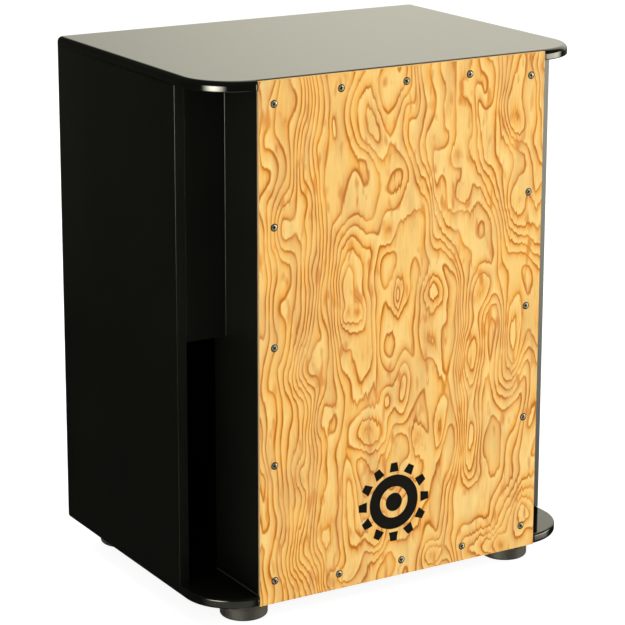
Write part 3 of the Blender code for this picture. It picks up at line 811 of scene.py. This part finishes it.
# the ornament: its middle, measured from the plate's lower middle, and its parts' radii
EMBLEM_X = -0.009
EMBLEM_HEIGHT = 0.073
EMBLEM_RING = (0.0262, 0.0150)
EMBLEM_DOT = 0.0088
EMBLEM_RAYS = 12
INK_DEPTH = 0.00006
# a ray's two ends: distance from the middle and half width
RAY_INNER = (0.0292, 0.0050)
RAY_OUTER = (0.0380, 0.0034)


def build_emblem(ink):
    """A plain generic ornament, a ring with a dot and short rays, printed low on the front plate."""
    centre = Vector((EMBLEM_X, 0, PLATE_LOW.z + EMBLEM_HEIGHT))
    bm = bmesh.new()

    def add_shape(*loops):
        """Printed shape of one loop, or of the space between two."""
        layers = []
        for y in (FRONT_Y, FRONT_Y - INK_DEPTH):
            layers.append([[bm.verts.new((centre.x + x, y, centre.z + z)) for x, z in loop]
                           for loop in loops])
        for near, far in zip(*layers):
            bridge(bm, near, far)
        for layer in layers:
            if len(layer) == 1:
                bm.faces.new(layer[0])
            else:
                bridge(bm, *layer)

    def circle(radius):
        return arc((0, 0), radius, 0, 360, 96)[:-1]

    add_shape(*[circle(radius) for radius in EMBLEM_RING])
    add_shape(circle(EMBLEM_DOT))
    for ray in range(EMBLEM_RAYS):
        turn = Matrix.Rotation(math.tau * ray / EMBLEM_RAYS, 2)
        corners = [(RAY_INNER[0], -RAY_INNER[1]), (RAY_OUTER[0], -RAY_OUTER[1]), RAY_OUTER, RAY_INNER]
        add_shape([tuple(turn @ Vector(corner)) for corner in corners])
    add_piece("front_emblem", finish_mesh(bm, "front_emblem"), [ink])


# ---------------------------------------------------------------- feet and inside parts

# a foot: its lower edge's round, the small round of its top and bore, and the bore and screw hole
FOOT_EDGE_ROUND = 0.0028
FOOT_SMALL_ROUND = 0.0008
FOOT_BORE_RADIUS = 0.0070
FOOT_BORE_DEPTH = 0.0090
FOOT_SHANK_RADIUS = 0.0024
# how high the head of a foot's screw is domed
FOOT_HEAD_CROWN = 0.0012
# the mould's parting groove: how far up the foot, its half height and its depth
GROOVE_SHARE = 0.56
GROOVE_HALF_HEIGHT = 0.0004
GROOVE_DEPTH = 0.00035


def foot_profile(radius, height):
    """Half section of a foot: round edges, parting groove, bore and screw hole."""
    groove = height * GROOVE_SHARE
    profile = [(radius - FOOT_SMALL_ROUND, height)]
    profile += arc((radius - FOOT_SMALL_ROUND, height - FOOT_SMALL_ROUND), FOOT_SMALL_ROUND, 60, 0, 3)
    profile += [(radius, groove + GROOVE_HALF_HEIGHT), (radius - GROOVE_DEPTH, groove),
                (radius, groove - GROOVE_HALF_HEIGHT)]
    profile += arc((radius - FOOT_EDGE_ROUND, FOOT_EDGE_ROUND), FOOT_EDGE_ROUND, 0, -90, 8)
    profile += [(FOOT_BORE_RADIUS + FOOT_SMALL_ROUND, 0.0), (FOOT_BORE_RADIUS, FOOT_SMALL_ROUND),
                (FOOT_BORE_RADIUS, FOOT_BORE_DEPTH), (FOOT_SHANK_RADIUS, FOOT_BORE_DEPTH),
                (FOOT_SHANK_RADIUS, height)]
    return profile


def build_feet(rubber, steel, shade_steel):
    """Four rubber feet, each with its screw head down in the bore."""
    low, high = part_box("foot_front_left")
    foot_mesh = finish_mesh(turned(foot_profile((high.x - low.x) / 2, high.z - low.z), 72), "foot")
    head_mesh = screw_mesh("foot_screw", head_radius=0.0040, crown=FOOT_HEAD_CROWN, sink=0.0004,
                           shank_radius=0.0021, length=0.0205)
    head_down = Matrix.Rotation(math.pi, 4, "X")
    for place in ("front_left", "front_right", "rear_left", "rear_right"):
        low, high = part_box("foot_" + place)
        middle = (low + high) / 2
        add_piece(f"foot_{place}_rubber", foot_mesh, [rubber], ["foot_" + place],
                  Matrix.Translation((middle.x, middle.y, low.z)))
        head_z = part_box("foot_screw_" + place)[0].z + FOOT_HEAD_CROWN
        add_piece(f"foot_screw_{place}_head", head_mesh, [steel, shade_steel],
                  ["foot_screw_" + place], Matrix.Translation((middle.x, middle.y, head_z)) @ head_down)


def paint_carried_nodes(lacquer, pine, steel, snare):
    """CAD nodes whose shape is right keep it and get the detailed materials."""
    for name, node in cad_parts.items():
        if node.hide_render:
            continue
        if name.startswith("front_cleat") or name == "snare_bar":
            chosen = pine
        elif name.startswith("snare_comb"):
            chosen = snare
        elif "screw" in name or "washer" in name:
            chosen = steel
        else:
            chosen = lacquer
        for index in range(len(node.data.materials)):
            node.data.materials[index] = chosen


# ---------------------------------------------------------------- stage, light and camera

def build_stage():
    """Pale matt floor that no reflection shows."""
    bm = bmesh.new()
    bmesh.ops.create_grid(bm, x_segments=2, y_segments=2, size=9.0)
    floor = bpy.data.objects.new("floor", finish_mesh(bm, "floor"))
    bpy.context.scene.collection.objects.link(floor)
    material, _, shader = new_material("pale_floor", Roughness=0.9, Specular_IOR_Level=0.0,
                                       Emission_Strength=0.9)
    shader.inputs["Base Color"].default_value = (0.35, 0.35, 0.35, 1)
    shader.inputs["Emission Color"].default_value = (1, 1, 1, 1)
    floor.data.materials.append(material)
    floor.visible_glossy = False


# Soft panels that the lacquer reflects: strength, then azimuth and elevation in degrees, each as the
# two ends of its rise and the two ends of its fall. Azimuth is 0 behind the drum and 90 at its right.
PANELS = [
    (1.35, (10, 34, 66, 88), (-14, 15, 50, 80)),         # white backdrop behind the drum
    (0.040, (-28, -24, 40, 60), (-18, -10, 0, 15)),      # its faint glow on the left face
    (9.8, (88, 112, 140, 151), (-27, -6, 4, 12)),        # panel at the front right
    (27.0, (-146, -117, -117, -90), (-17, -10, 4, 12)),  # panel at the front left
]
FLOOR_GLOW = 0.75
STUDIO_TINT = (1.0, 0.97, 0.80, 1)
WHITE = (1, 1, 1, 1)


def build_world():
    """White to the camera; for reflections, a studio of soft panels round a dark room."""
    world = bpy.data.worlds.new("studio")
    bpy.context.scene.world = world
    world.use_nodes = True
    nodes = Nodes(world.node_tree)
    world.node_tree.nodes.clear()
    parts = nodes.split(nodes.add("ShaderNodeTexCoord").outputs["Generated"])
    height = nodes.math("MULTIPLY", nodes.math("ARCSINE", parts[2]), 180 / math.pi)
    azimuth = nodes.math("MULTIPLY", nodes.math("ARCTAN2", parts[0], parts[1]), 180 / math.pi)

    def window(value, rise_from, rise_to, fall_from, fall_to):
        rising = nodes.rescale(value, rise_from, rise_to, smooth=True)
        falling = nodes.rescale(value, fall_from, fall_to, 1.0, 0.0, smooth=True)
        return nodes.math("MULTIPLY", rising, falling)

    # the dark room itself, a little lighter overhead
    total = nodes.rescale(height, -30, 60, 0.012, 0.05, smooth=True)
    for strength, around, up in PANELS:
        share = nodes.math("MULTIPLY", window(azimuth, *around), window(height, *up))
        total = nodes.math("MULTIPLY_ADD", share, strength, total)
    # the lit floor ahead of the drum, fading out towards its right
    ahead = nodes.math("MULTIPLY", nodes.rescale(parts[1], 0.2, -0.3, smooth=True),
                       nodes.rescale(parts[0], 0.36, 0.12, smooth=True))
    below = nodes.rescale(height, -14, -20, smooth=True)
    total = nodes.math("MULTIPLY_ADD", nodes.math("MULTIPLY", ahead, below), FLOOR_GLOW, total)
    path = nodes.add("ShaderNodeLightPath").outputs
    glossy = nodes.add("ShaderNodeBackground", {"Color": STUDIO_TINT, "Strength": total}).outputs[0]
    soft = nodes.add("ShaderNodeBackground", {"Color": WHITE, "Strength": 0.30}).outputs[0]
    white = nodes.add("ShaderNodeBackground", {"Color": WHITE, "Strength": 1.0}).outputs[0]
    unseen = nodes.add("ShaderNodeMixShader", {0: path["Is Glossy Ray"], 1: soft, 2: glossy}).outputs[0]
    whole = nodes.add("ShaderNodeMixShader", {0: path["Is Camera Ray"], 1: unseen, 2: white}).outputs[0]
    nodes.plug(whole, nodes.add("ShaderNodeOutputWorld").inputs[0])


def add_area(name, location, target, size, power):
    """Soft box that lights the drum but is neither seen nor reflected."""
    light = bpy.data.lights.new(name, "AREA")
    light.shape = "RECTANGLE"
    light.size, light.size_y = size
    light.energy = power
    item = bpy.data.objects.new(name, light)
    item.location = location
    aim = Vector(target) - Vector(location)
    item.rotation_euler = aim.to_track_quat("-Z", "Y").to_euler()
    item.visible_glossy = False
    item.visible_camera = False
    bpy.context.scene.collection.objects.link(item)


def build_lights():
    add_area("key_right", (1.5, -2.4, 1.5), (0, 0, 0.28), (1.4, 1.6), 34)
    add_area("fill_left", (-2.0, -2.0, 1.1), (0, 0, 0.25), (1.2, 1.6), 16)
    add_area("top", (0.2, 0.3, 2.6), (0, 0, 0.2), (2.0, 2.0), 40)
    add_area("back", (0.6, 2.4, 1.4), (0, 0, 0.25), (1.6, 1.4), 30)


# The photographer stood at the drum's front left. Angles are in degrees, the heading measured from
# straight back towards the right.
CAMERA_PLACE = (-1.1563, -1.9105, 0.8729)
CAMERA_HEADING = 31.0317
CAMERA_TILT = -13.9161
CAMERA_ROLL = 0.11
CAMERA_LENS = 139.62
CAMERA_SHIFT = -0.1337


def build_camera():
    """The photograph's view: direction, lens and vertical shift."""
    data = bpy.data.cameras.new("camera")
    camera = bpy.data.objects.new("camera", data)
    bpy.context.scene.collection.objects.link(camera)
    heading, tilt, roll = (math.radians(angle) for angle in (CAMERA_HEADING, CAMERA_TILT, CAMERA_ROLL))
    turn = Matrix.Rotation(-heading, 4, "Z") @ Matrix.Rotation(math.pi / 2 + tilt, 4, "X")
    camera.matrix_world = Matrix.Translation(CAMERA_PLACE) @ turn @ Matrix.Rotation(roll, 4, "Z")
    data.sensor_width = 36.0
    data.lens = CAMERA_LENS
    data.shift_y = CAMERA_SHIFT
    data.clip_start = 0.05
    bpy.context.scene.camera = camera


def main():
    lacquer = make_lacquer("black_lacquer", base_roughness=0.065, specular=0.5)
    # lighter and darker copies of the lacquer: painted light on the inner sides, painted shade on the
    # baffles and in the screw holes
    lit_satin = make_lacquer("lit_satin_lacquer", base_roughness=0.26, specular=0.24, painted_lightness=1.35)
    matt = make_lacquer("shaded_matt_lacquer", base_roughness=0.30, specular=0.16, painted_lightness=0.65)
    veneer = make_veneer()
    steel = make_steel("zinc_steel", srgb(172, 168, 156), srgb(118, 114, 102), (0.42, 0.58), 900.0)
    # dark steel that is painted shade in the screws' cross recesses and at their rims
    shade_steel = make_steel("painted_shade_steel", srgb(58, 55, 48), srgb(26, 24, 20), (0.4, 0.65), 1400.0)
    snare = make_steel("snare_steel", srgb(214, 214, 210), srgb(172, 171, 168), (0.18, 0.34), 300.0)
    rubber = make_rubber()
    build_box(lacquer, lit_satin, matt, make_glue())
    screw_places = front_screw_places()
    build_front_plate(screw_places.values(), veneer, make_ply_edge(), matt)
    build_front_screws(screw_places, steel, shade_steel)
    build_emblem(make_ink())
    build_feet(rubber, steel, shade_steel)
    paint_carried_nodes(lacquer, make_pine(), steel, snare)
    build_stage()
    build_world()
    build_lights()
    build_camera()
    bpy.context.scene.view_settings.view_transform = "Standard"


main()
